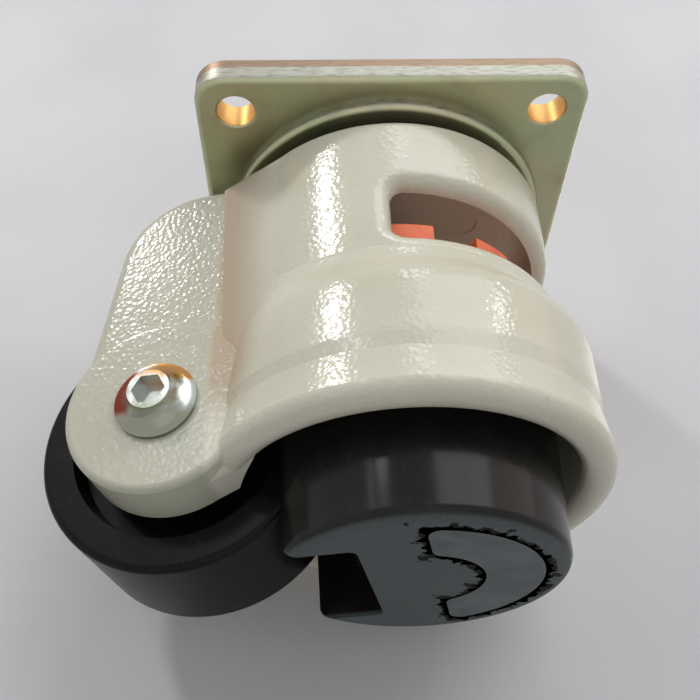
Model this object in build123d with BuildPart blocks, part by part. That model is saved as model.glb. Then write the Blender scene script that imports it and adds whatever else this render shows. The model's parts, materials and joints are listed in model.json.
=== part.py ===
"""A levelling castor: a swivelling nylon wheel beside a foot that a notched dial screws down to the floor.

The origin is the centre of the top plate's upper face, +Z up, and the plate's sides lie along X and Y.
Everything that swivels is drawn in its own frame, turned by rest_swivel about Z: x towards the foot,
away from the wheel, y along the axle, z up.
"""
import os

from build123d import *

os.makedirs("parts", exist_ok=True)

# ---- driving dimensions, in millimetres and degrees ----
rest_swivel = -11.0           # how far the castor stands turned on its plate

plate_size = 73.0
plate_thickness = 5.5
plate_corner_radius = 6.0
plate_top_rounding = 0.3
plate_underside_rounding = 1.2
bolt_edge_distance = 7.5      # from a hole's centre to the plate's edge
bolt_hole_radius = 3.5
bolt_hole_rounding = 0.4      # the punched edge drawn in on the underside
raceway_radius = 31.7         # the pressed ring on the plate's underside
raceway_drop = 1.9
raceway_rounding = 1.2
press_channel_depth = 1.2     # the hollow that pressing the raceway leaves in the top face

ball_radius = 3.0
ball_circle_radius = 22.0
ball_count = 22
ball_clearance = 0.3
ball_seat_depth = 1.4         # how deep a ball sits in the plate's raceway
race_width = 8.0
race_thickness = 3.2
seal_outer_radius = 28.3
seal_inner_radius = 26.4
seal_clearance = 0.3

kingpin_radius = 5.0
kingpin_head_radius = 9.0
kingpin_head_thickness = 3.5
kingpin_head_sink = 0.7       # the head stays below the mounting face
kingpin_recess_clearance = 0.6
kingpin_rivet_radius = 6.8
kingpin_rivet_thickness = 2.6
kingpin_washer_radius = 7.4
kingpin_washer_thickness = 1.6
pin_running_clearance = 0.08
thrust_gap = 0.05             # between faces that turn on each other

swivel_gap = 2.95             # between the raceway and the head of the housing
head_radius = 31.2
head_rounding = 1.5
head_floor = 3.85             # metal that the kingpin is riveted against
head_wall = 3.2
chamber_top = -18.5
collar_radius = 12.9          # the hollow collar on the ceiling that the dial thrusts on
collar_bore = 9.8
collar_bottom = -27.6
window_top = -25.5
window_sill = -37.4
window_end = 3.8              # the window is cut from the foot's side back to here
window_corner_radius = 2.7
window_rounding = 2.6
web_thickness = 4.0           # the floor under the dial
shoulder_top = -40.2
shoulder_bottom = -60.0
shoulder_lead = 0.45          # share of that height in which it has swollen out on the foot's side
shoulder_steps = 8
bell_offset = 1.0             # the bell stands this far from the swivel axis, towards the foot
bell_radius = 34.7
bell_draft = 0.2
bell_lip_radius = 35.4
bell_lip_flare = 6.0          # height over which the wall swells out to the lip
bell_mouth_radius = 29.3
bell_crown_radius = 27.5      # inside, at the web
bell_bottom = -71.5
ejector_mark_radius = 3.25
ejector_mark_depth = 0.4
ejector_mark_x = 15.4
ejector_mark_y = -9.4

axle_x = -37.3
axle_z = -59.5
fork_gap = 25.0
arm_thickness = 8.0
arm_end_radius = 16.0
arm_top_drop = 0.4            # the arms' top under the head's top
arm_shoulder_x = -31.8
arm_shoulder_radius = 17.0
arm_root_x = -24.0
arm_root_z = -60.0
arm_rounding = 2.5
web_reach_top = -28.8         # where the flat webs from the head meet the arms, at the top
web_reach_bottom = -26.9      # and at the arms' root
web_contact = -16.5           # where they leave the head
boss_radius = 16.1
boss_height = 2.0
boss_rounding = 1.2
wheel_slot_clearance = 1.8

wheel_radius = 25.0
wheel_width = 23.0
wheel_edge_rounding = 1.2
wheel_rim_inner_radius = 19.2
wheel_recess_depth = 4.5
wheel_recess_draft = 0.8
wheel_hub_radius = 9.5
sleeve_radius = 6.0
sleeve_running_clearance = 0.06
axle_washer_radius = 9.0
axle_washer_thickness = 1.0
bush_thickness = 1.5          # the plain bearing pressed into the wheel's hub

bolt_radius = 4.0
button_radius = 7.0
button_height = 4.2
button_rim = 0.8
button_flat_radius = 3.6
button_bulge = 0.8
socket_turn = 0.0
socket_across_flats = 5.0
socket_depth = 2.7
lock_washer_radius = 8.0
lock_washer_thickness = 1.2
lock_nut_across_flats = 13.0
lock_nut_height = 4.5
lock_nut_collar_radius = 5.6
lock_nut_collar_height = 1.5
bolt_end_length = 0.3

dial_clearance = 1.5          # to the wall of its chamber
dial_top = -31.2
dial_rim_thickness = 4.8
dial_notch_count = 10
dial_notch_angle = -21.0      # direction of one notch at rest
dial_notch_width = 8.45
dial_notch_depth = 4.6
dial_rounding = 0.5
dial_hub_radius = 14.0
dial_washer_thickness = 1.2
insert_radius = 11.0
insert_flange_radius = 12.6
insert_flange_thickness = 1.6
insert_washer_thickness = 0.45

stem_radius = 7.0
stem_clearance = 0.06
stem_top = -27.2
stem_chamfer = 1.0
stem_root_depth = 18.0        # how deep the stem is moulded into the foot
stem_root_radius = 7.6        # its knurled root
stem_collar_radius = 9.4
stem_collar_thickness = 2.5

foot_offset = 2.0             # the drum stands this far from its stem, away from the wheel
foot_bottom = -85.5
foot_top = -52.0
foot_base_radius = 24.5
foot_top_radius = 25.5
foot_edge_rounding = 2.2
foot_wall = 3.5
foot_floor = 6.0
foot_hub_radius = 12.0
foot_hub_drop = 2.5           # the hub stops this far under the foot's rim
notch_width = 29.0
notch_end = -6.3
notch_step = -76.0            # above it the notch ends further out, so that the stem's root is covered
notch_corner_radius = 1.5
tread_outer_radius = 20.0
tread_inner_radius = 10.5
tread_end = 3.0               # the crescent stops this far past the foot's centre
tread_depth = 3.0
tread_corner_radius = 2.0

# ---- places worked out from them ----
bolt_pitch = plate_size - 2 * bolt_edge_distance
plate_underside = -plate_thickness
raceway_bottom = plate_underside - raceway_drop
ball_centre_z = raceway_bottom + ball_seat_depth - ball_radius
head_top = raceway_bottom - swivel_gap
race_outer = ball_circle_radius + race_width / 2
race_inner = ball_circle_radius - race_width / 2
chamber_radius = head_radius - head_wall
collar_top = head_top - head_floor
kingpin_head_bottom = -kingpin_head_sink - kingpin_head_thickness
kingpin_washer_top = collar_top - thrust_gap
kingpin_washer_bottom = kingpin_washer_top - kingpin_washer_thickness
kingpin_end = kingpin_washer_bottom - kingpin_rivet_thickness
fork_half = fork_gap / 2
arm_half = fork_half + arm_thickness
boss_half = arm_half + boss_height
arms_top = head_top - arm_top_drop
arm_shoulder_z = arms_top - arm_shoulder_radius
web_contact_side = (head_radius**2 - web_contact**2) ** 0.5
lip_centre_radius = (bell_lip_radius + bell_mouth_radius) / 2
lip_start = bell_bottom + (bell_lip_radius - bell_mouth_radius) / 2
slot_radius = wheel_radius + wheel_slot_clearance
wheel_hub_half = fork_half - axle_washer_thickness - thrust_gap
bush_bore = sleeve_radius + sleeve_running_clearance
bush_radius = bush_bore + bush_thickness
web_top = window_sill
web_bottom = web_top - web_thickness
dial_washer_bottom = collar_bottom - dial_washer_thickness
dial_radius = chamber_radius - dial_clearance
dial_hub_top = dial_washer_bottom - thrust_gap
dial_rim_bottom = dial_top - dial_rim_thickness
insert_bottom = web_top + insert_washer_thickness + thrust_gap
insert_flange_top = insert_bottom + insert_flange_thickness
insert_bore = stem_radius + stem_clearance
foot_hub_top = foot_top - foot_hub_drop
notch_upper_end = axle_x + slot_radius
stem_root = foot_hub_top - stem_root_depth
button_end = -boss_half - button_height
button_edge = -boss_half - button_rim
lock_nut_seat = boss_half + lock_washer_thickness
lock_nut_end = lock_nut_seat + lock_nut_height + lock_nut_collar_height
bolt_end = lock_nut_end + bolt_end_length

# ---- the swivelling frame ----
swivel = Plane.XY.rotated((0, 0, rest_swivel))
bell_centre = swivel.origin + swivel.x_dir * bell_offset
foot_centre = swivel.origin + swivel.x_dir * foot_offset
axle_centre = swivel.origin + swivel.x_dir * axle_x + swivel.z_dir * axle_z
side = Plane(origin=swivel.origin, x_dir=swivel.x_dir, z_dir=-swivel.y_dir)
bell_side = Plane(origin=bell_centre, x_dir=swivel.x_dir, z_dir=-swivel.y_dir)
foot_side = Plane(origin=foot_centre, x_dir=swivel.x_dir, z_dir=-swivel.y_dir)
along_axle = Plane(origin=axle_centre, x_dir=swivel.y_dir, z_dir=-swivel.x_dir)
bell_axis = Axis(bell_centre, (0, 0, 1))
foot_axis = Axis(foot_centre, (0, 0, 1))
axle_axis = Axis(axle_centre, swivel.y_dir)


def foot_level(height):
    """A horizontal plane at a height, with its origin on the foot's axis."""
    return Plane(origin=foot_centre + Vector(0, 0, height), x_dir=swivel.x_dir, z_dir=(0, 0, 1))


def axle_level(distance):
    """The plane across the axle, so far along it from the wheel's middle."""
    return Plane(origin=axle_centre + swivel.y_dir * distance, x_dir=swivel.x_dir, z_dir=swivel.y_dir)


def flat_ring(plane, thickness, outer, inner):
    """A flat ring standing on a plane."""
    with BuildPart() as made:
        with BuildSketch(plane):
            Circle(outer)
            Circle(inner, mode=Mode.SUBTRACT)
        extrude(amount=thickness)
    return made.part


def on_head_wall(edge):
    """Whether an edge lies on the outside of the head."""
    return all(
        abs(Vector(point.X, point.Y, 0).length - head_radius) < 1e-3
        for point in (edge @ 0, edge @ 0.5, edge @ 1)
    )


def save(part, name):
    """Labels a finished piece and writes its file."""
    part.label = name
    export_step(part, f"parts/{name}.step")


# ---- top plate: pressed steel, with the upper raceway formed in it ----
with BuildPart() as top_plate:
    with BuildSketch(Plane.XY.offset(plate_underside)):
        RectangleRounded(plate_size, plate_size, plate_corner_radius)
    extrude(amount=plate_thickness)
    fillet(top_plate.faces().sort_by(Axis.Z)[0].edges(), radius=plate_underside_rounding)
    fillet(top_plate.faces().sort_by(Axis.Z)[-1].edges(), radius=plate_top_rounding)
    with BuildSketch(Plane.XY.offset(raceway_bottom)):
        Circle(raceway_radius)
    extrude(amount=raceway_drop)
    fillet(top_plate.faces().sort_by(Axis.Z)[0].edges(), radius=raceway_rounding)
    with BuildSketch(Plane.XY):
        Circle(kingpin_head_radius + kingpin_recess_clearance)
    extrude(amount=kingpin_head_bottom, mode=Mode.SUBTRACT)
    with BuildSketch(Plane.XY):
        Circle(kingpin_radius)
    extrude(amount=raceway_bottom, mode=Mode.SUBTRACT)
    with BuildSketch(Plane.XZ):
        with Locations((ball_circle_radius, ball_centre_z)):
            Circle(ball_radius + ball_clearance)
        with Locations((ball_circle_radius, ball_radius - press_channel_depth)):
            Circle(ball_radius)
    revolve(axis=Axis.Z, mode=Mode.SUBTRACT)
    with BuildSketch(Plane.XY):
        with GridLocations(bolt_pitch, bolt_pitch, 2, 2):
            Circle(bolt_hole_radius)
    extrude(amount=-plate_thickness, mode=Mode.SUBTRACT)
    hole_edges = top_plate.edges().filter_by(
        lambda edge: edge.geom_type == GeomType.CIRCLE
        and abs(edge.radius - bolt_hole_radius) < 1e-6
        and abs(edge.center().Z - plate_underside) < 1e-6
    )
    fillet(hole_edges, radius=bolt_hole_rounding)
save(top_plate.part, "top_plate")

# ---- swivel bearing: a full ring of balls and the hardened race under them ----
with BuildPart() as swivel_balls:
    with Locations((0, 0, ball_centre_z)):
        with PolarLocations(ball_circle_radius, ball_count):
            Sphere(ball_radius)
save(swivel_balls.part, "swivel_balls")

with BuildPart() as lower_race:
    with BuildSketch(Plane.XY.offset(head_top - race_thickness)):
        Circle(race_outer)
        Circle(race_inner, mode=Mode.SUBTRACT)
    extrude(amount=race_thickness)
    with BuildSketch(Plane.XZ):
        with Locations((ball_circle_radius, ball_centre_z)):
            Circle(ball_radius + ball_clearance)
    revolve(axis=Axis.Z, mode=Mode.SUBTRACT)
save(lower_race.part, "lower_race")

dust_seal = flat_ring(
    Plane.XY.offset(head_top + seal_clearance),
    swivel_gap - seal_clearance,
    seal_outer_radius,
    seal_inner_radius,
)
save(dust_seal, "dust_seal")

# ---- kingpin: a rivet that holds the housing up to the plate, over a washer ----
with BuildPart() as kingpin:
    with BuildSketch(Plane.XY.offset(kingpin_head_bottom)):
        Circle(kingpin_head_radius)
    extrude(amount=kingpin_head_thickness)
    chamfer(kingpin.faces().sort_by(Axis.Z)[-1].edges(), length=kingpin_head_sink)
    with BuildSketch(Plane.XY.offset(kingpin_washer_bottom)):
        Circle(kingpin_radius)
    extrude(amount=kingpin_head_bottom - kingpin_washer_bottom)
    with BuildSketch(Plane.XY.offset(kingpin_end)):
        Circle(kingpin_rivet_radius)
    extrude(amount=kingpin_rivet_thickness)
    fillet(kingpin.faces().sort_by(Axis.Z)[0].edges(), radius=kingpin_rivet_thickness / 2)
save(kingpin.part, "kingpin")

kingpin_washer = flat_ring(
    Plane.XY.offset(kingpin_washer_bottom), kingpin_washer_thickness, kingpin_washer_radius, kingpin_radius
)
save(kingpin_washer, "kingpin_washer")

# ---- housing: one die casting of head, bell and fork ----
with BuildPart() as web_block:
    for height, reach in ((arm_root_z, web_reach_bottom), (head_top, web_reach_top)):
        # inside the head the web's face runs on to its nearest point to the swivel axis
        outer = Vector(reach, -arm_half)
        run = (Vector(web_contact, -web_contact_side) - outer).normalized()
        inner = outer - run * outer.dot(run)
        with BuildSketch(swivel.offset(height)):
            with BuildLine():
                Polyline(
                    inner, outer, Vector(reach, -fork_half), Vector(inner.X, -fork_half), inner
                )
            make_face()
    loft()
    top_edges = web_block.faces().sort_by(Axis.Z)[-1].edges()
    fillet(top_edges.sort_by(Axis(swivel.origin, swivel.x_dir))[:-1], radius=head_rounding)
web = web_block.part

with BuildPart() as housing:
    # the fork from the side: a shoulder under the head and a round end about the axle
    with BuildSketch(side):
        with Locations((axle_x, axle_z)):
            Circle(arm_end_radius)
        with Locations((arm_shoulder_x, arm_shoulder_z)):
            Circle(arm_shoulder_radius)
        with Locations((arm_root_x, arm_root_z)):
            Rectangle(-arm_root_x, arms_top - arm_root_z, align=(Align.MIN, Align.MIN))
        make_hull()
    extrude(amount=arm_half, both=True)
    fork_faces = housing.faces().filter_by(
        lambda face: abs(abs(side.to_local_coords(face.center()).Z) - arm_half) < 1e-6
    )
    fillet(fork_faces.edges(), radius=arm_rounding)
    # flat webs run from the head's flanks out to the arms' outer faces
    add(web)
    add(mirror(web, about=side))
    # between the arms only the head's own wall stays
    with BuildSketch(swivel.offset(arm_root_z - arm_end_radius)):
        with Locations((axle_x, 0)):
            Rectangle(-2 * axle_x, fork_gap)
        Circle(head_radius, mode=Mode.SUBTRACT)
    extrude(amount=head_top - arm_root_z + arm_end_radius, mode=Mode.SUBTRACT)
    # the head, with its top edge rounded
    with BuildSketch(side) as head:
        with Locations((0, shoulder_top)):
            Rectangle(head_radius, head_top - shoulder_top, align=(Align.MIN, Align.MIN))
        fillet(head.vertices().group_by(Axis.Y)[-1].sort_by(Axis.X)[-1], radius=head_rounding)
    revolve(axis=Axis.Z)
    # the round bosses that the axle's head and nut seat on
    with BuildSketch(along_axle) as boss:
        Rectangle(2 * boss_half, boss_radius, align=(Align.CENTER, Align.MIN))
        fillet(boss.vertices().group_by(Axis.Y)[-1], radius=boss_rounding)
        Rectangle(fork_gap, 2 * boss_radius, mode=Mode.SUBTRACT)
    revolve(axis=axle_axis)
    # the shoulder swells from the head's circle to the bell's, early on the foot's side, late at the fork
    for step in range(shoulder_steps + 1):
        part_way = step / shoulder_steps
        early = min(part_way / shoulder_lead, 1)
        eased = early * early * (3 - 2 * early)
        foot_reach = head_radius + (bell_radius + bell_offset - head_radius) * eased
        fork_reach = head_radius + (bell_radius - bell_offset - head_radius) * part_way
        with BuildSketch(swivel.offset(shoulder_top + (shoulder_bottom - shoulder_top) * part_way)):
            with Locations(((foot_reach - fork_reach) / 2, 0)):
                Circle((foot_reach + fork_reach) / 2)
    loft()
    # the bell's wall, drafted, swelling to a full round lip
    with BuildSketch(bell_side):
        with BuildLine():
            Polyline(
                (0, shoulder_bottom),
                (bell_radius, shoulder_bottom),
                (bell_radius - bell_draft, lip_start + bell_lip_flare),
                (bell_lip_radius, lip_start),
            )
            ThreePointArc(
                (bell_lip_radius, lip_start), (lip_centre_radius, bell_bottom), (bell_mouth_radius, lip_start)
            )
            Polyline((bell_mouth_radius, lip_start), (0, lip_start), (0, shoulder_bottom))
        make_face()
    revolve(axis=bell_axis)
    # the dial's chamber down to the web under it, leaving the collar on its ceiling
    with BuildSketch(swivel.offset(web_top)):
        Circle(chamber_radius)
    extrude(amount=chamber_top - web_top, mode=Mode.SUBTRACT)
    with BuildSketch(swivel.offset(collar_bottom)):
        Circle(collar_radius)
    extrude(amount=chamber_top - collar_bottom)
    with BuildSketch(swivel.offset(collar_bottom)):
        Circle(collar_bore)
    extrude(amount=collar_top - collar_bottom, mode=Mode.SUBTRACT)
    # the bell's inside, and the stem's bore through the web
    with BuildSketch(bell_side):
        with BuildLine():
            Polyline(
                (0, web_bottom),
                (bell_crown_radius, web_bottom),
                (bell_mouth_radius, lip_start),
                (bell_mouth_radius, axle_z - boss_radius),
                (0, axle_z - boss_radius),
                (0, web_bottom),
            )
        make_face()
    revolve(axis=bell_axis, mode=Mode.SUBTRACT)
    with BuildSketch(swivel.offset(web_bottom)):
        Circle(insert_bore)
    extrude(amount=web_thickness, mode=Mode.SUBTRACT)
    # the window that the dial is slid in through, cut from the foot's side through both flanks
    with BuildSketch(side) as window:
        with Locations((window_end, web_top)):
            Rectangle(2 * head_radius, window_top - web_top, align=(Align.MIN, Align.MIN))
        fillet(window.vertices().group_by(Axis.X)[0], radius=window_corner_radius)
    extrude(amount=2 * head_radius, both=True, mode=Mode.SUBTRACT)
    window_borders = housing.edges().filter_by(
        lambda edge: on_head_wall(edge) and web_top - 1e-3 < edge.center().Z < window_top + 1e-3
        and swivel.to_local_coords(edge.center()).X > 0
    )
    fillet(window_borders, radius=window_rounding)
    # the wheel's slot between the arms
    with BuildSketch(side):
        with Locations((axle_x, axle_z)):
            Circle(slot_radius)
            Rectangle(slot_radius, slot_radius, align=(Align.MIN, Align.MAX))
    extrude(amount=fork_half, both=True, mode=Mode.SUBTRACT)
    # seats and bores
    with BuildSketch(Plane.XY.offset(head_top)):
        Circle(race_outer)
        Circle(race_inner, mode=Mode.SUBTRACT)
    extrude(amount=-race_thickness, mode=Mode.SUBTRACT)
    with BuildSketch(Plane.XY.offset(head_top)):
        Circle(kingpin_radius + pin_running_clearance)
    extrude(amount=-head_floor, mode=Mode.SUBTRACT)
    with BuildSketch(axle_level(-boss_half)):
        Circle(bolt_radius)
    extrude(amount=2 * boss_half, mode=Mode.SUBTRACT)
    # the round mark of an ejector pin on the ceiling over the dial
    with BuildSketch(swivel.offset(chamber_top)):
        with Locations((ejector_mark_x, ejector_mark_y)):
            Circle(ejector_mark_radius)
    extrude(amount=ejector_mark_depth, mode=Mode.SUBTRACT)
save(housing.part, "housing")

# ---- wheel: moulded nylon, dished on both faces, turning on a sleeve round its bolt ----
with BuildPart() as wheel:
    with BuildSketch(axle_level(-wheel_width / 2)):
        Circle(wheel_radius)
    extrude(amount=wheel_width)
    fillet(wheel.edges(), radius=wheel_edge_rounding)
    with BuildSketch(along_axle):
        with BuildLine():
            Polyline(
                (wheel_width / 2, wheel_hub_radius),
                (wheel_width / 2, wheel_rim_inner_radius),
                (wheel_width / 2 - wheel_recess_depth, wheel_rim_inner_radius - wheel_recess_draft),
                (wheel_width / 2 - wheel_recess_depth, wheel_hub_radius + wheel_recess_draft),
                (wheel_width / 2, wheel_hub_radius),
            )
        make_face()
        mirror(about=Plane.YZ)
    revolve(axis=axle_axis, mode=Mode.SUBTRACT)
    with BuildSketch(axle_level(-wheel_width / 2)):
        Circle(wheel_hub_radius)
    extrude(amount=wheel_width / 2 - wheel_hub_half, mode=Mode.SUBTRACT)
    with BuildSketch(axle_level(wheel_hub_half)):
        Circle(wheel_hub_radius)
    extrude(amount=wheel_width / 2 - wheel_hub_half, mode=Mode.SUBTRACT)
    with BuildSketch(axle_level(-wheel_width / 2)):
        Circle(bush_radius)
    extrude(amount=wheel_width, mode=Mode.SUBTRACT)
save(wheel.part, "wheel")

wheel_bush = flat_ring(axle_level(-wheel_hub_half), 2 * wheel_hub_half, bush_radius, bush_bore)
save(wheel_bush, "wheel_bush")

axle_sleeve = flat_ring(axle_level(-fork_half), fork_gap, sleeve_radius, bolt_radius)
save(axle_sleeve, "axle_sleeve")

with BuildPart() as axle_washers:
    for start in (-fork_half, fork_half - axle_washer_thickness):
        with BuildSketch(axle_level(start)):
            Circle(axle_washer_radius)
            Circle(sleeve_radius, mode=Mode.SUBTRACT)
        extrude(amount=axle_washer_thickness)
save(axle_washers.part, "axle_washers")

# ---- axle bolt: button head with a hexagon socket, and its lock washer and nut ----
with BuildPart() as axle_bolt:
    with BuildSketch(along_axle):
        with BuildLine():
            Line((button_end, 0), (button_end, button_flat_radius))
            SagittaArc((button_end, button_flat_radius), (button_edge, button_radius), -button_bulge)
            Polyline(
                (button_edge, button_radius),
                (-boss_half, button_radius),
                (-boss_half, bolt_radius),
                (bolt_end, bolt_radius),
                (bolt_end, 0),
                (button_end, 0),
            )
        make_face()
    revolve(axis=axle_axis)
    with BuildSketch(axle_level(button_end)):
        RegularPolygon(socket_across_flats / 2, 6, major_radius=False, rotation=socket_turn)
    extrude(amount=socket_depth, mode=Mode.SUBTRACT)
save(axle_bolt.part, "axle_bolt")

lock_washer = flat_ring(axle_level(boss_half), lock_washer_thickness, lock_washer_radius, bolt_radius)
save(lock_washer, "lock_washer")

with BuildPart() as lock_nut:
    with BuildSketch(axle_level(lock_nut_seat)):
        RegularPolygon(lock_nut_across_flats / 2, 6, major_radius=False)
        Circle(bolt_radius, mode=Mode.SUBTRACT)
    extrude(amount=lock_nut_height)
    with BuildSketch(axle_level(lock_nut_seat + lock_nut_height)):
        Circle(lock_nut_collar_radius)
        Circle(bolt_radius, mode=Mode.SUBTRACT)
    extrude(amount=lock_nut_collar_height)
save(lock_nut.part, "lock_nut")

# ---- dial: a star wheel turned by finger through the window, on a brass threaded insert ----
dial_washer = flat_ring(swivel.offset(dial_washer_bottom), dial_washer_thickness, collar_radius, collar_bore)
save(dial_washer, "dial_washer")

with BuildPart() as dial:
    with BuildSketch(swivel.offset(dial_rim_bottom)) as star:
        Circle(dial_radius)
        with PolarLocations(dial_radius, dial_notch_count, start_angle=dial_notch_angle):
            Rectangle(2 * dial_notch_depth, dial_notch_width, mode=Mode.SUBTRACT)
    extrude(amount=dial_rim_thickness)
    dial_rims = dial.faces().filter_by(Axis.Z).edges()
    fillet(dial_rims, radius=dial_rounding)
    with BuildSketch(swivel.offset(dial_top)):
        Circle(dial_hub_radius)
    extrude(amount=dial_hub_top - dial_top)
    with BuildSketch(swivel.offset(dial_rim_bottom)):
        Circle(insert_flange_radius)
    extrude(amount=insert_flange_top - dial_rim_bottom, mode=Mode.SUBTRACT)
    with BuildSketch(swivel.offset(dial_rim_bottom)):
        Circle(insert_radius)
    extrude(amount=dial_hub_top - dial_rim_bottom, mode=Mode.SUBTRACT)
save(dial.part, "dial")

with BuildPart() as dial_insert:
    with BuildSketch(swivel.offset(insert_bottom)):
        Circle(insert_flange_radius)
    extrude(amount=insert_flange_thickness)
    with BuildSketch(swivel.offset(insert_flange_top)):
        Circle(insert_radius)
    extrude(amount=dial_hub_top - insert_flange_top)
    with BuildSketch(swivel.offset(insert_bottom)):
        Circle(insert_bore)
    extrude(amount=dial_hub_top - insert_bottom, mode=Mode.SUBTRACT)
save(dial_insert.part, "dial_insert")

insert_washer = flat_ring(swivel.offset(web_top), insert_washer_thickness, insert_flange_radius, insert_bore)
save(insert_washer, "insert_washer")

# ---- foot: a moulded drum notched for the wheel, with a screw stem and a softer crescent tread ----
with BuildPart() as stem:
    with BuildSketch(swivel.offset(stem_root)):
        Circle(stem_root_radius)
    extrude(amount=foot_hub_top - stem_root)
    with BuildSketch(swivel.offset(foot_hub_top)):
        Circle(stem_collar_radius)
    extrude(amount=stem_collar_thickness)
    with BuildSketch(swivel.offset(foot_hub_top)):
        Circle(stem_radius)
    extrude(amount=stem_top - foot_hub_top)
    chamfer(stem.faces().sort_by(Axis.Z)[-1].edges(), length=stem_chamfer)
save(stem.part, "stem")

with BuildSketch() as crescent:
    Circle(tread_outer_radius)
    Circle(tread_inner_radius, mode=Mode.SUBTRACT)
    with Locations((tread_end, 0)):
        Rectangle(2 * tread_outer_radius, 2 * tread_outer_radius, align=(Align.MAX, Align.CENTER),
                  mode=Mode.SUBTRACT)
    fillet(crescent.vertices(), radius=tread_corner_radius)

with BuildPart() as foot:
    with BuildSketch(foot_side) as foot_profile:
        with BuildLine():
            Polyline(
                (0, foot_bottom),
                (foot_base_radius, foot_bottom),
                (foot_top_radius, foot_top),
                (0, foot_top),
                (0, foot_bottom),
            )
        make_face()
        fillet(foot_profile.vertices().group_by(Axis.Y)[0].sort_by(Axis.X)[-1], radius=foot_edge_rounding)
    revolve(axis=foot_axis)
    # hollow from above, with walls left round the stem and the notch
    with BuildSketch(foot_level(foot_bottom + foot_floor)):
        Circle(foot_top_radius - foot_wall)
        with Locations((-foot_offset, 0)):
            Circle(foot_hub_radius, mode=Mode.SUBTRACT)
        with Locations((notch_end - foot_offset + foot_wall, 0)):
            Rectangle(2 * foot_top_radius, notch_width + 2 * foot_wall, align=(Align.MAX, Align.CENTER),
                      mode=Mode.SUBTRACT)
    extrude(amount=foot_top - foot_bottom, mode=Mode.SUBTRACT)
    with BuildSketch(swivel.offset(foot_hub_top)):
        Circle(foot_hub_radius)
    extrude(amount=foot_top - foot_hub_top, mode=Mode.SUBTRACT)
    # the notch that the wheel stands in, deeper at the bottom
    for height, rise, end in (
        (foot_bottom, notch_step - foot_bottom, notch_end),
        (notch_step, foot_top - notch_step, notch_upper_end),
    ):
        with BuildSketch(swivel.offset(height)) as notch:
            with Locations((end, 0)):
                Rectangle(2 * foot_top_radius, notch_width, align=(Align.MAX, Align.CENTER))
            fillet(notch.vertices().group_by(Axis.X)[-1], radius=notch_corner_radius)
        extrude(amount=rise, mode=Mode.SUBTRACT)
    # seats for the stem and the crescent
    with BuildSketch(swivel.offset(stem_root)):
        Circle(stem_root_radius)
    extrude(amount=foot_hub_top - stem_root, mode=Mode.SUBTRACT)
    with BuildSketch(foot_level(foot_bottom)):
        add(crescent.sketch)
    extrude(amount=tread_depth, mode=Mode.SUBTRACT)
save(foot.part, "foot")

with BuildPart() as foot_tread:
    with BuildSketch(foot_level(foot_bottom)):
        add(crescent.sketch)
    extrude(amount=tread_depth)
save(foot_tread.part, "foot_tread")
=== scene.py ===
# %% [markdown]
# # A levelling castor
#
# This castor carries a machine two ways. It rolls on the black wheel, or it stands on the round foot
# once the notched dial has screwed that foot down past the wheel. The solid shapes come from the CAD
# model. This lesson gives them their finishes, adds the fine things that moulding and thread cutting
# leave behind, and sets up the studio.

import json
from math import acos, cos, pi, radians, sin

import bmesh
import bpy
from mathutils import Matrix, Vector, noise


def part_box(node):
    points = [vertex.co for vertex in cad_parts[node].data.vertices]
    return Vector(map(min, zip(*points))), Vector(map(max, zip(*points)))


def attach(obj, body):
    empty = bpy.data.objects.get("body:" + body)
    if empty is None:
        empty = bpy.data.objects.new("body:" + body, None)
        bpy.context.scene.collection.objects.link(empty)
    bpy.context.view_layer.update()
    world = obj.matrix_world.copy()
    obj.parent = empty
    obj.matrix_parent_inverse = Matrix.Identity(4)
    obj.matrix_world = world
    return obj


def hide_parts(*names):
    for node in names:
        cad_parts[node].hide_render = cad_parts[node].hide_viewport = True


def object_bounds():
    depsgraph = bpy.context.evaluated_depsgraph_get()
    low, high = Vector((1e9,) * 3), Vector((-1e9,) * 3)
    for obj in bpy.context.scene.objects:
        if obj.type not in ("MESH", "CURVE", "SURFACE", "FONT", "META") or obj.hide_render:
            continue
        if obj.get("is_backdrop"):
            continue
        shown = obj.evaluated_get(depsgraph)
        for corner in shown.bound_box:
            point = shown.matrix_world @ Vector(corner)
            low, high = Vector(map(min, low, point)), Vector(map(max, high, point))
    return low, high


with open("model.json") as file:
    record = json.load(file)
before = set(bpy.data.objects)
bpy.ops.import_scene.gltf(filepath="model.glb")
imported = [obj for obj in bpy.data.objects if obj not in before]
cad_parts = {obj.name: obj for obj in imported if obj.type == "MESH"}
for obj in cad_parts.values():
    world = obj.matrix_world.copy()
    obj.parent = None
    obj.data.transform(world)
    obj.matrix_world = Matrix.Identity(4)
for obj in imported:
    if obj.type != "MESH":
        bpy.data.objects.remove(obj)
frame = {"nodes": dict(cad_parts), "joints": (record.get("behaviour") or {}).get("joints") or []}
cad_low, cad_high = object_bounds()
print("solids:", sorted(frame["nodes"]))

# %% [markdown]
# ## Where things are
#
# Everything that swivels was drawn square to the fork and then turned a little about the upright
# axis, so the fork's own directions are worked out once, from the wheel's joint. That is safer than
# typing the angle a second time. The foot's drum stands 2 mm off its own stem, away from the wheel.

# %% Directions and centres
MM = 0.001
joints = {joint["name"]: joint for joint in frame["joints"]}
wheel_middle = Vector(joints["wheel_spin"]["pos_m"])
axle_way = Vector(joints["wheel_spin"]["axis"]).normalized()
fork_way = Vector((axle_way.y, -axle_way.x, 0.0))
drum_offset_mm = 2.0
drum_middle = fork_way * drum_offset_mm * MM
print("fork points", tuple(round(v, 3) for v in fork_way))
print("wheel at", tuple(round(v, 4) for v in wheel_middle))

# %% [markdown]
# ## Shader sums written as Python
#
# A finish is mostly arithmetic on a few noises: take this, add some of that, keep it between two
# limits. Node graphs hide that arithmetic, so one small class wraps a node's output and gives it
# plus, minus, times and powers. Colours keep their own node, because a Math node turns them grey.

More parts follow.
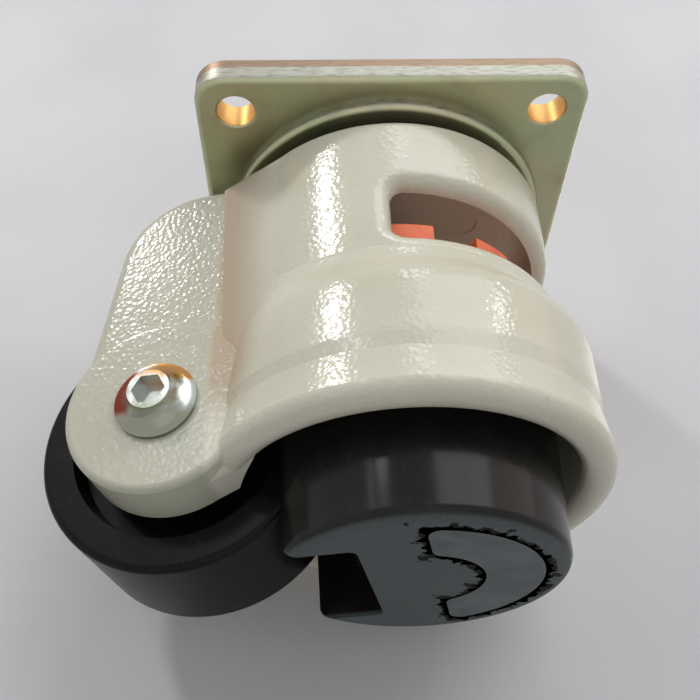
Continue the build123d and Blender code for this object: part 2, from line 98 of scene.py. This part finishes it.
# %% A wrapped socket
class Signal:
    """A number, vector or shader that comes out of a node, with ordinary sums on it."""

    def __init__(self, graph, socket):
        self.graph = graph
        self.socket = socket

    def _sum(self, how, first, second=0.0):
        return self.graph.node("ShaderNodeMath", {"operation": how}, {0: first, 1: second})

    def __add__(self, other):
        return self._sum("ADD", self, other)

    def __radd__(self, other):
        return self._sum("ADD", other, self)

    def __sub__(self, other):
        return self._sum("SUBTRACT", self, other)

    def __rsub__(self, other):
        return self._sum("SUBTRACT", other, self)

    def __mul__(self, other):
        return self._sum("MULTIPLY", self, other)

    def __rmul__(self, other):
        return self._sum("MULTIPLY", other, self)

    def __pow__(self, other):
        return self._sum("POWER", self, other)

    def __abs__(self):
        return self._sum("ABSOLUTE", self)

    def at_least(self, other):
        return self._sum("MAXIMUM", self, other)

    def at_most(self, other):
        return self._sum("MINIMUM", self, other)

    def wave(self):
        return self._sum("SINE", self)

    def step(self, low, high):
        """Goes smoothly from 0 at low to 1 at high, or down where high is the smaller."""
        settings = {"interpolation_type": "SMOOTHSTEP"}
        inputs = {0: self, 1: min(low, high), 2: max(low, high), 3: 0.0, 4: 1.0}
        risen = self.graph.node("ShaderNodeMapRange", settings, inputs)
        return risen if high > low else 1 - risen

# %% [markdown]
# ## One method for every node
#
# A Graph owns a node tree. Its node method takes the node's type, then its settings, then what goes
# into its sockets, so every node in this file is made the same way and in the same order.

# %% A tree that is built by calls
class Graph:
    """A node tree, and the few ways this scene adds to it."""

    def __init__(self, tree):
        self.tree = tree

    def node(self, kind, settings=None, inputs=None, output=0):
        made = self.tree.nodes.new(kind)
        for key, value in (settings or {}).items():
            setattr(made, key, value)
        for key, value in (inputs or {}).items():
            socket = made.inputs[key]
            if isinstance(value, Signal):
                self.tree.links.new(value.socket, socket)
            elif socket.type == "RGBA":
                socket.default_value = (*value, 1.0)
            else:
                socket.default_value = value
        return Signal(self, made.outputs[output])

    def place(self):
        """The surface point in millimetres, in the piece's own frame."""
        here = self.node("ShaderNodeTexCoord", output="Object")
        return self.node("ShaderNodeVectorMath", {"operation": "SCALE"}, {0: here, "Scale": 1000.0})

    def normal(self):
        return self.node("ShaderNodeTexCoord", output="Normal")

    def parts(self, vector):
        """A vector's three numbers."""
        split = self.node("ShaderNodeSeparateXYZ", {}, {0: vector})
        return [Signal(self, socket) for socket in split.socket.node.outputs]

    def stretch(self, vector, x, y, z):
        return self.node("ShaderNodeVectorMath", {"operation": "MULTIPLY"}, {0: vector, 1: (x, y, z)})

    def noise(self, vector, per_mm, detail=2.0, roughness=0.5, distortion=0.0):
        inputs = {"Vector": vector, "Scale": per_mm, "Detail": detail, "Roughness": roughness,
                  "Distortion": distortion}
        return self.node("ShaderNodeTexNoise", {}, inputs)

    def cells(self, vector, per_mm, smooth):
        """How far the nearest of many scattered points is, in cells."""
        inputs = {"Vector": vector, "Scale": per_mm, "Smoothness": smooth}
        return self.node("ShaderNodeTexVoronoi", {"feature": "SMOOTH_F1"}, inputs, output="Distance")

    def mix(self, share, first, second):
        """A colour between two, by a share from 0 to 1."""
        return self.node("ShaderNodeMix", {"data_type": "RGBA"}, {0: share, 6: first, 7: second}, output=2)

    def either(self, share, first, second):
        """One shader or another."""
        return self.node("ShaderNodeMixShader", {}, {0: share, 1: first, 2: second})

    def show(self, shader, end):
        """Joins a shader to the tree's output node."""
        self.tree.links.new(shader.socket, self.tree.nodes[end].inputs["Surface"])

# %% [markdown]
# ## One material, one object
#
# Paint is a Graph with a Principled shader in it. Whatever stays the same all over a piece is typed
# straight onto the shader, and only what varies gets nodes.

# %% A material
class Paint(Graph):
    """A Principled material, built in steps."""

    def __init__(self, name, **constants):
        self.material = bpy.data.materials.new(name)
        self.material.use_nodes = True
        super().__init__(self.material.node_tree)
        self.shader = self.tree.nodes["Principled BSDF"]
        for socket, value in constants.items():
            self.shader.inputs[socket.replace("_", " ").title().replace("Ior", "IOR")].default_value = value

    def put(self, **signals):
        """Joins what changes over the surface to the shader's own sockets."""
        for socket, signal in signals.items():
            self.tree.links.new(signal.socket, self.shader.inputs[socket.replace("_", " ").title()])

    def bump(self, height, depth_mm, strength=1.0):
        """Relief from a height signal that runs from 0 to 1."""
        inputs = {"Height": height, "Distance": depth_mm * MM, "Strength": strength}
        self.put(normal=self.node("ShaderNodeBump", {}, inputs))

    def wear_on(self, *names):
        """Gives CAD solids this paint."""
        for name in names:
            slots = frame["nodes"][name].data.materials
            slots.clear()
            slots.append(self.material)
        print(self.material.name, "on", ", ".join(names))

# %% [markdown]
# ## Colours
#
# Colour pickers speak in 0 to 255 and shaders in light. This helper goes from one to the other.

# %% Picker colours to shader colours
def tone(red, green, blue):
    """A colour as a shader wants it."""
    def to_light(value):
        share = value / 255
        return share / 12.92 if share <= 0.04045 else ((share + 0.055) / 1.055) ** 2.4
    return tuple(to_light(value) for value in (red, green, blue))


print("mid grey is", round(tone(128, 128, 128)[0], 3), "in light")

# %% [markdown]
# ## The housing's hammered coat
#
# The casting is powder coated in a warm cream. The powder has flowed into soft, shiny lumps about a
# millimetre across and only hundredths of a millimetre high, so the paint looks plain in shade and
# glitters where a lamp catches it. Smooth cells give rounder lumps than a plain noise would, and a
# low roughness keeps each lump's glint small and sharp. Two broad tints over the cream are painted
# shade: a darker, greener one on the fork's arms, and a browner one with a painted brown reflection
# on the flat sides beside the head.

# %% Cream hammered powder coat
coat = Paint("cream_powder_coat", ior=1.5)
spot = coat.place()
x, y, z = coat.parts(spot)
warp = coat.noise(spot, 0.5, detail=2.0)
lumps = 1 - (coat.cells(spot, 1.1, 0.3) * 1.35).at_most(1.0)
ripple = coat.noise(spot, 1.7, detail=1.0, roughness=0.4)
skin = lumps * (0.3 + warp * 0.8) + ripple * 0.4
cloud = coat.noise(spot, 0.045, detail=3.0)
grime = coat.noise(spot, 0.35, detail=5.0, roughness=0.6).step(0.6, 0.82)
along_fork = x * fork_way.x + y * fork_way.y
# Masks for painted shade: darker and greener on the fork's arms, browner with a painted brown reflection on
# the flat sides beside the head.
arm_painted_shade = along_fork.step(-28.0, -29.5)
web_painted_shade = along_fork.step(-17.0, -26.0) * (1 - arm_painted_shade) * z.step(-66.0, -56.0)
cream = coat.mix(cloud.step(0.3, 0.7), tone(207, 202, 181), tone(214, 210, 191))
cream = coat.mix(arm_painted_shade * 0.8, cream, tone(186, 184, 165))
cream = coat.mix(web_painted_shade * 0.8, cream, tone(182, 158, 132))
cream = coat.mix(grime * 0.3, cream, tone(176, 166, 146))
coat.put(base_color=cream, roughness=0.13 + cloud * 0.08 + grime * 0.15)
coat.bump(skin, 0.055)
coat.wear_on("housing")

# %% [markdown]
# ## Yellow passivated plate
#
# Zinc plating dipped in a chromate bath turns a pale straw green, with pinkish patches where the film
# is thicker. The punch that cut the plate out left a bright sheared band low on the edge and a
# brown, torn band above it. Inside the bolt holes the film has pooled and looks gold.

# %% Zinc plating with chromate film
plate = Paint("passivated_zinc", metallic=1.0)
spot = plate.place()
x, y, z = plate.parts(spot)
upright = abs(plate.parts(plate.normal())[2]).step(0.6, 0.3)
film = plate.noise(spot, 0.03, detail=2.0, distortion=1.2)
rolled = plate.noise(plate.stretch(spot, 1.6, 0.06, 1.6), 0.9, detail=4.0)
smudge = plate.noise(spot, 0.12, detail=5.0, roughness=0.6)
face_tone = plate.mix(film.step(0.38, 0.62), tone(180, 186, 150), tone(190, 184, 152))
face_tone = plate.mix(film.step(0.6, 0.74) * 0.7, face_tone, tone(160, 174, 148))
face_tone = plate.mix(smudge.step(0.5, 0.72) * 0.3, face_tone, tone(136, 126, 104))
torn = plate.noise(plate.stretch(spot, 0.35, 0.35, 2.2), 1.1, detail=5.0, roughness=0.6)
edge_tone = plate.mix((z + torn * 0.9).step(-1.9, -1.5), tone(166, 166, 154), tone(150, 128, 108))
edge_tone = plate.mix(torn.step(0.46, 0.64) * 0.55, edge_tone, tone(116, 108, 94))
hole_place = 29.0
hole_x = abs(x) - hole_place
hole_y = abs(y) - hole_place
in_hole = (hole_x * hole_x + hole_y * hole_y).step(18.0, 15.0)
side_tone = plate.mix(in_hole, edge_tone, tone(212, 168, 104))
plate.put(
    base_color=plate.mix(upright, face_tone, side_tone),
    roughness=0.27 + rolled * 0.12 + smudge * 0.08 + upright * 0.1,
)
plate.bump(rolled * (1 - upright) + torn * upright * 2.0, 0.012, 0.6)
plate.wear_on("top_plate")

# %% [markdown]
# ## Bright zinc fasteners
#
# The button-head bolt, the nut and its washer come from a barrel plating line: blue-bright zinc over
# a cold-formed head, with faint swirls and small dents from tumbling against its neighbours. Patches
# placed by position around the bolt's head are painted reflections, rust red towards the wheel's
# edge and gold at the top, with a darker green grey below as painted shade.

# %% Bright zinc
bright = Paint("bright_zinc", metallic=1.0)
spot = bright.place()
swirl = bright.noise(spot, 0.8, detail=4.0, roughness=0.6, distortion=0.8)
x, y, z = bright.parts(spot)
haze = bright.noise(spot, 0.28, detail=3.0, distortion=0.8)
dents = bright.cells(spot, 0.75, 0.6).step(0.12, 0.4)
ahead = x * fork_way.x + y * fork_way.y - wheel_middle.dot(fork_way) / MM + (haze - 0.5) * 3.0
above = z - wheel_middle.z / MM + (haze - 0.5) * 3.0
# Painted reflections and shade placed by position: a darker green grey below, gold at the top and rust red
# towards the wheel's edge.
film = bright.mix(above.step(-0.5, -4.0), tone(196, 200, 196), tone(150, 154, 136))
film = bright.mix(above.step(1.6, 3.6) * ahead.step(-3.5, 0.0), film, tone(190, 142, 84))
film = bright.mix(ahead.step(-2.6, -4.4) * above.step(-3.6, -1.4), film, tone(134, 62, 48))
bright.put(base_color=film, roughness=0.15 + swirl * 0.14)
bright.bump(swirl * 0.5 + dents * 0.5, 0.025, 0.7)
bright.wear_on("axle_bolt", "lock_nut", "lock_washer")

# %% [markdown]
# ## Turned and ground metals
#
# The inside pieces are plain steel and brass. A lathe leaves rings round its own axis, so the relief
# is a sine of the distance from that axis.

# %% Plain steel, balls and brass
def turned(name, colour, worn_colour, rings_per_mm, roughness):
    """A metal with fine rings round the swivel axis."""
    metal = Paint(name, metallic=1.0)
    spot = metal.place()
    x, y, z = metal.parts(spot)
    reach = (x * x + y * y + 0.01) ** 0.5
    rings = (reach * (2 * pi * rings_per_mm)).wave() * 0.5 + 0.5
    film = metal.noise(spot, 0.3, detail=4.0)
    metal.put(
        base_color=metal.mix(film.step(0.4, 0.75), colour, worn_colour),
        roughness=roughness + film * 0.15,
    )
    metal.bump(rings, 0.006, 0.5)
    return metal


steel = turned("plain_steel", tone(176, 176, 174), tone(140, 138, 134), 2.5, 0.25)
steel.wear_on("kingpin", "kingpin_washer", "lower_race", "axle_sleeve")
turned("ball_steel", tone(214, 214, 216), tone(190, 190, 192), 0.5, 0.08).wear_on("swivel_balls")
brass = turned("turned_brass", tone(202, 168, 96), tone(170, 136, 72), 2.0, 0.22)
brass.wear_on("dial_insert", "wheel_bush")

# %% [markdown]
# ## Black mouldings
#
# The wheel and the foot are black nylon straight from a polished mould: a deep, slightly uneven
# gloss with faint flow lines, scuffs where they rub and a little pale dust. Round the wheel's middle
# runs the fine line where the two halves of its mould met.

# %% Wheel nylon
nylon = Paint("wheel_nylon", ior=1.5, specular_ior_level=0.13)
spot = nylon.place()
x, y, z = nylon.parts(spot)
middle_mm = wheel_middle * 1000
across = (x - middle_mm.x) * axle_way.x + (y - middle_mm.y) * axle_way.y
flow = nylon.noise(spot, 0.12, detail=3.0, distortion=0.6)
scuff = nylon.noise(spot, 0.9, detail=6.0, roughness=0.65).step(0.58, 0.75)
seam = abs(across).step(0.22, 0.08)
black = nylon.mix(flow.step(0.3, 0.7), tone(14, 11, 10), tone(22, 19, 17))
black = nylon.mix(scuff * 0.16, black, tone(88, 86, 86))
nylon.put(base_color=black, roughness=0.22 + flow * 0.12 + scuff * 0.14)
nylon.bump(flow * 0.6 + scuff * 0.15 + seam * 0.8, 0.05, 0.5)
nylon.wear_on("wheel")

# %% [markdown]
# ## The foot and the edge of its crescent
#
# The foot's side is polished like the wheel, while its underside is spark finished and greyer; the
# grey is partly that finish and partly a painted reflection of the pale table.
# A crescent of softer rubber is moulded into the underside. Where it was pressed in, a ragged black
# flash has squeezed out all round. The crescent's outline is easy to say as a distance: how far a
# point is outside the ring between two radii, or short of the crescent's straight ends.

# %% Foot nylon with squeezed flash
crescent_outer = 20.0
crescent_inner = 10.5
crescent_end = 3.0


def crescent_distance(graph, x, y):
    """How far a point is outside the crescent, in millimetres."""
    from_x = x - drum_middle.x * 1000
    from_y = y - drum_middle.y * 1000
    ahead = from_x * fork_way.x + from_y * fork_way.y
    reach = (from_x * from_x + from_y * from_y) ** 0.5
    ring_middle = (crescent_outer + crescent_inner) / 2
    off_ring = abs(reach - ring_middle) - (crescent_outer - crescent_inner) / 2
    return off_ring.at_least(crescent_end - ahead)


drum = Paint("foot_nylon", ior=1.5, specular_ior_level=0.24)
spot = drum.place()
x, y, z = drum.parts(spot)
under = z.step(-84.4, -85.2)
flow = drum.noise(drum.stretch(spot, 1.0, 1.0, 0.25), 0.16, detail=3.0, distortion=0.4)
grit = drum.noise(spot, 2.6, detail=3.0, roughness=0.6)
scuff = drum.noise(spot, 0.55, detail=6.0, roughness=0.65).step(0.58, 0.76)
ragged = drum.noise(spot, 0.32, detail=5.0, roughness=0.6)
flash = (crescent_distance(drum, x, y) - (ragged - 0.46).at_least(0.0) * 11.0).step(1.0, 0.7) * under
black = drum.mix(flow.step(0.3, 0.7), tone(22, 20, 19), tone(31, 28, 26))
# The underside's grey is partly its spark finish and partly a painted reflection of the pale table.
black = drum.mix(under, black, drum.mix(grit.step(0.3, 0.7), tone(72, 79, 79), tone(85, 92, 92)))
black = drum.mix(scuff * (0.08 + under * 0.14), black, tone(118, 118, 116))
black = drum.mix(flash, black, tone(12, 12, 12))
drum.put(
    base_color=black,
    roughness=0.14 + flow * 0.08 + under * (0.32 + grit * 0.12) + scuff * 0.06 + flash * 0.3,
)
drum.bump(flow * 0.6 * (1 - under) + grit * under * 0.5 + flash * ragged * 3.0, 0.06, 0.5)
drum.wear_on("foot")

# %% [markdown]
# ## The crescent itself
#
# The rubber didn't fill its pocket cleanly. Its edge is nibbled, and a dark gap of about a millimetre
# shows between it and the nylon. That is a matter of shape, not colour, so the crescent is built
# again as a mesh: one rounded outline bent round the drum's middle, each point then drawn inwards
# by a small uneven amount.

# %% The crescent's outline
def crescent_outline(across_steps=14, along_steps=150, corner=0.1, corner_mm=2.0):
    """Points round the crescent in its own plane, in millimetres, with no gap yet."""
    half = (crescent_outer - crescent_inner) / 2
    corner_share = corner_mm / half
    shares = []
    for sign_u, sign_v, start in ((1, 1, 0), (-1, 1, 90), (-1, -1, 180), (1, -1, 270)):
        for step in range(across_steps + 1):
            angle = radians(start + 90 * step / across_steps)
            u = sign_u * (1 - corner) + corner * cos(angle)
            v = sign_v * (1 - corner_share) + corner_share * sin(angle)
            shares.append((u, v))
    outline = []
    for (u, v), (next_u, next_v) in zip(shares, shares[1:] + shares[:1]):
        pieces = along_steps if abs(next_u - u) > 1 else 10 if abs(next_v - v) > 0.6 else 1
        for step in range(pieces):
            part = step / pieces
            reach = (crescent_outer + crescent_inner) / 2 + half * (v + (next_v - v) * part)
            angle = acos(crescent_end / reach) * (u + (next_u - u) * part)
            outline.append(Vector((reach * cos(angle), reach * sin(angle))))
    return outline


outline = crescent_outline()
print("crescent outline has", len(outline), "points")

# %% Nibble the edge and close the piece
def nibbled(outline, gap, bite):
    """The outline drawn inwards by a gap that wavers."""
    moved = []
    for before, here, after in zip(outline[-1:] + outline[:-1], outline, outline[1:] + outline[:1]):
        way = (after - before).normalized()
        inwards = Vector((-way.y, way.x))
        waver = noise.fractal(Vector((here.x, here.y, 0.0)) * 0.7, 0.6, 2.0, 4)
        moved.append(here + inwards * (gap + bite * max(waver, -0.35)))
    return moved


def drum_point(flat, height_mm):
    return drum_middle + (fork_way * flat.x + axle_way * flat.y) * MM + Vector((0, 0, height_mm * MM))


tread_low, tread_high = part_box("foot_tread")
edge_gap, side_gap = 1.0, 0.85
edge_height = 0.15 * MM
deepest_bite = 1.6
crescent_mesh = bmesh.new()
rows = []
for gap, height in (
    (edge_gap, tread_low.z), (side_gap, tread_low.z + edge_height), (side_gap, tread_high.z),
):
    points = nibbled(outline, gap, deepest_bite)
    rows.append([crescent_mesh.verts.new(drum_point(point, height / MM)) for point in points])
for lower, upper in zip(rows, rows[1:]):
    for step in range(len(lower)):
        after = (step + 1) % len(lower)
        crescent_mesh.faces.new((lower[step], lower[after], upper[after], upper[step]))
crescent_mesh.faces.new(rows[0][::-1])
crescent_mesh.faces.new(rows[-1])
crescent_data = bpy.data.meshes.new("tread_crescent")
crescent_mesh.to_mesh(crescent_data)
crescent_mesh.free()
crescent = bpy.data.objects.new("tread_crescent", crescent_data)
bpy.context.scene.collection.objects.link(crescent)
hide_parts("foot_tread")
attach(crescent, "foot")
print("crescent has", len(crescent_data.polygons), "faces")

# %% Tread rubber
tread = Paint("tread_rubber", ior=1.5, specular_ior_level=0.4)
spot = tread.place()
grit = tread.noise(spot, 1.9, detail=4.0, roughness=0.6)
smear = tread.noise(spot, 0.14, detail=3.0, distortion=1.0)
tread.put(
    base_color=tread.mix(smear.step(0.3, 0.7), tone(78, 84, 84), tone(94, 100, 100)),
    roughness=0.44 + grit * 0.18,
)
tread.bump(grit, 0.05, 0.4)
crescent_data.materials.append(tread.material)

# %% [markdown]
# ## The dial
#
# A bright orange-red plastic that has to be found by finger and eye. Plain moulded plastic still
# varies: it is a little paler where it has been touched and has a soft gloss.

# %% Orange plastic
orange = Paint("dial_plastic", ior=1.47)
spot = orange.place()
flow = orange.noise(spot, 0.15, detail=3.0, distortion=0.8)
fine = orange.noise(spot, 2.2, detail=3.0)
orange.put(
    base_color=orange.mix(flow.step(0.3, 0.7), tone(222, 92, 46), tone(232, 112, 60)),
    roughness=0.36 + fine * 0.14,
)
orange.bump(fine, 0.03, 0.35)
orange.wear_on("dial")

# %% Slippery washers and the dust seal
slick = Paint("slippery_washer", ior=1.4)
spot = slick.place()
film = slick.noise(spot, 0.5, detail=3.0)
slick.put(base_color=slick.mix(film, tone(226, 224, 214), tone(206, 202, 188)), roughness=0.4 + film * 0.15)
slick.bump(film, 0.02, 0.3)
slick.wear_on("axle_washers", "dial_washer", "insert_washer")
seal = Paint("seal_rubber", ior=1.45)
spot = seal.place()
film = seal.noise(spot, 0.6, detail=4.0)
seal.put(base_color=seal.mix(film, tone(20, 20, 19), tone(34, 33, 30)), roughness=0.55 + film * 0.2)
seal.bump(film, 0.03, 0.4)
seal.wear_on("dust_seal")

# %% [markdown]
# ## The stem's thread
#
# The CAD stem is a plain bar. The real one carries a coarse metric thread, on which the turning
# insert drives it up and down. It is built as rows of points wrapped round the axis: the radius
# follows a rounded triangle wave whose phase moves on by one pitch a turn, which makes it
# right-handed, and fades out at the ends.

# %% Rows of the stem
stem_low, stem_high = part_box("stem")
thread_pitch = 2.0
thread_depth = 1.2
root_radius = 7.6
collar_radius = 9.4
crest_radius = 6.95
collar_bottom = -54.5
collar_top = -52.0
chamfer = 1.0
row_step = 0.125
top = stem_high.z / MM
stem_rows = [
    (stem_low.z / MM, root_radius - 0.4, 0.0), (stem_low.z / MM + 0.4, root_radius, 0.0),
    (collar_bottom, root_radius, 0.0), (collar_bottom, collar_radius - 0.3, 0.0),
    (collar_bottom + 0.3, collar_radius, 0.0), (collar_top - 0.3, collar_radius, 0.0),
    (collar_top, collar_radius - 0.3, 0.0), (collar_top, crest_radius - thread_depth / 2, 0.0),
]
for step in range(int((top - collar_top) / row_step)):
    height = collar_top + 0.05 + step * row_step
    fade = min((height - collar_top) / thread_pitch, 1.0)
    radius = min(crest_radius, crest_radius - chamfer + top - height)
    stem_rows.append((height, radius, thread_depth * fade * (radius - crest_radius + chamfer) / chamfer))
stem_rows.append((top, crest_radius - chamfer, 0.0))
print("stem runs from", round(stem_low.z / MM, 1), "to", round(top, 1), "mm in", len(stem_rows), "rows")

# %% Wrap them round the axis
def wrapped(name, rows, around=72):
    """A closed skin from rows of height, radius and groove depth, in millimetres."""
    mesh = bmesh.new()
    loops = []
    for height, radius, depth in rows:
        loop = []
        for step in range(around):
            angle = 2 * pi * step / around
            lead = height / thread_pitch - angle / (2 * pi)
            groove = min(max(0.5 - 0.75 * cos(2 * pi * lead), 0.0), 1.0)
            reach = (radius - depth * groove) * MM
            loop.append(mesh.verts.new((reach * cos(angle), reach * sin(angle), height * MM)))
        loops.append(loop)
    for lower, upper in zip(loops, loops[1:]):
        for step in range(around):
            after = (step + 1) % around
            mesh.faces.new((lower[step], lower[after], upper[after], upper[step]))
    mesh.faces.new(loops[0][::-1])
    mesh.faces.new(loops[-1])
    data = bpy.data.meshes.new(name)
    mesh.to_mesh(data)
    mesh.free()
    data.shade_smooth()
    data.set_sharp_from_angle(angle=radians(35))
    piece = bpy.data.objects.new(name, data)
    bpy.context.scene.collection.objects.link(piece)
    print(name, len(data.polygons), "faces")
    return piece


threaded_stem = wrapped("threaded_stem", stem_rows)
threaded_stem.data.materials.append(steel.material)
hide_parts("stem")
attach(threaded_stem, "foot")

# %% [markdown]
# ## The studio
#
# The castor lies on its back on a pale table, so the table is an upright sheet just behind it, and a
# level floor waits below for views from above. Each is seen only from the object's side: from behind
# it turns clear, so that it never hides the castor. The sheets catch shadows but cast none, so lamps
# behind or below them still reach the castor.

# %% Table and floor
table = Paint("pale_table", roughness=0.6)
spot = table.place()
grain = table.noise(spot, 0.02, detail=2.0)
fibre = table.noise(spot, 0.6, detail=4.0)
table_tone = table.mix(grain.step(0.3, 0.7), tone(207, 204, 206), tone(214, 212, 213))
table.put(base_color=table.mix(fibre * 0.12, table_tone, tone(206, 204, 208)))
behind = table.node("ShaderNodeNewGeometry", output="Backfacing")
clear = table.node("ShaderNodeBsdfTransparent")
table.show(table.either(behind, Signal(table, table.shader.outputs[0]), clear), "Material Output")


def sheet(name, middle, right, up, size):
    """A flat sheet that faces right x up."""
    corners = ((-1, -1), (1, -1), (1, 1), (-1, 1))
    points = [Vector(middle) + (Vector(right) * a + Vector(up) * b) * size / 2 for a, b in corners]
    data = bpy.data.meshes.new(name)
    data.from_pydata(points, [], [(0, 1, 2, 3)])
    data.materials.append(table.material)
    made = bpy.data.objects.new(name, data)
    bpy.context.scene.collection.objects.link(made)
    made.visible_shadow = False
    made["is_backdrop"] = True
    return made


sheet("table_sheet", (0, cad_high.y + 0.0005, -0.04), (1, 0, 0), (0, 0, 1), 3.0)
floor_sheet = sheet("floor_sheet", (0, 0, cad_low.z - 0.0003), (1, 0, 0), (0, 1, 0), 3.0)
floor_sheet.visible_diffuse = False
floor_sheet.visible_glossy = False
print("sheets behind at", round(cad_high.y / MM, 1), "and below at", round(cad_low.z / MM, 1), "mm")

# %% [markdown]
# ## Lamps
#
# One small warm ceiling lamp makes the sharp glitter. A broad, cooler window on the other side fills
# the shapes and leaves a soft bluish band on the black drum, and two narrow gaps of daylight leave thin
# streaks on it. A skylight catches the bell's lip and the plate's edge, and two far bulbs add a few more
# glints on the right. Two weak warm panels stand for the room's wood. One weak lamp lights the underside
# and one behind keeps the back readable.

# %% Lamps on a sphere round the castor
middle = (cad_low + cad_high) / 2


def lamp(name, azimuth, elevation, size, watts, colour, away=1.0):
    """A square soft lamp that looks at the castor; azimuth 0 is in front, 90 to the right."""
    a, e = radians(azimuth), radians(elevation)
    out = Vector((sin(a) * cos(e), -cos(a) * cos(e), sin(e)))
    data = bpy.data.lights.new(name, "AREA")
    data.size = size
    data.energy = watts
    data.color = colour
    made = bpy.data.objects.new(name, data)
    made.location = middle + out * away
    made.rotation_mode = "QUATERNION"
    made.rotation_quaternion = (-out).to_track_quat("-Z", "Y")
    bpy.context.scene.collection.objects.link(made)
    print(name, "at", tuple(round(v, 2) for v in made.location), watts, "W")


lamp("ceiling_lamp", -45, 43, 0.1, 2.7, (1.0, 0.975, 0.94))
lamp("window_lamp", 31, 32, 0.7, 3.7, (0.93, 0.97, 1.0))
lamp("wide_gap", -28, 25, 0.12, 0.34, (0.9, 0.96, 1.0))
lamp("thin_gap", -37, 21, 0.04, 0.05, (0.9, 0.96, 1.0))
lamp("skylight", 10, 55, 0.16, 0.5, (0.92, 0.97, 1.0))
lamp("right_bulb", 57, 37, 0.07, 0.35, (1.0, 0.97, 0.92))
lamp("far_bulb", 136, 30, 0.07, 0.5, (1.0, 0.93, 0.82))
lamp("wood_right", 72, 26, 0.6, 0.8, (1.0, 0.78, 0.58))
lamp("wood_left", -112, 25, 0.6, 0.5, (1.0, 0.74, 0.54))
lamp("low_lamp", 5, -38, 0.9, 0.5, (0.93, 0.98, 1.0))
lamp("back_lamp", 200, 35, 0.8, 2.4, (1.0, 1.0, 1.0))

# %% World
world = bpy.data.worlds.new("studio")
bpy.context.scene.world = world
world.use_nodes = True
sky = Graph(world.node_tree)
dim = sky.node("ShaderNodeBackground", {}, {"Color": (0.9, 0.92, 0.95), "Strength": 0.45})
pale = sky.node("ShaderNodeBackground", {}, {"Color": tone(222, 221, 223), "Strength": 1.0})
seen = sky.node("ShaderNodeLightPath", output="Is Camera Ray")
mirrored = sky.node("ShaderNodeLightPath", output="Is Glossy Ray")
through = sky.node("ShaderNodeLightPath", output="Is Transmission Ray")
sky.show(sky.either(seen.at_least(mirrored).at_least(through), dim, pale), "World Output")
print("world lights at", dim.socket.node.inputs["Strength"].default_value)

# %% [markdown]
# ## The camera
#
# It looks up at the castor from in front and below, close enough that the near wheel and foot look
# larger than the plate.

# %% Camera
camera_data = bpy.data.cameras.new("view")
camera_data.sensor_width = 36.0
camera_data.lens = 47.67
camera_data.clip_start = 0.01
camera = bpy.data.objects.new("view", camera_data)
bpy.context.scene.collection.objects.link(camera)
forward = Vector((0.0275, 0.8216, 0.5693)).normalized()
right = forward.cross(Vector((0.0153, -0.5698, 0.8216))).normalized()
facing = Matrix((right, right.cross(forward), -forward)).transposed().to_4x4()
camera.matrix_world = Matrix.Translation((-0.01324, -0.14529, -0.14007)) @ facing
bpy.context.scene.camera = camera
print("camera at", tuple(round(v, 3) for v in camera.location))

# %% Sizes and finish
bpy.context.scene.view_settings.view_transform = "Standard"
shown_low, shown_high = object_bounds()
grown = (shown_high - shown_low) - (cad_high - cad_low)
print("visual box is larger by", tuple(round(v / MM, 2) for v in grown), "mm")
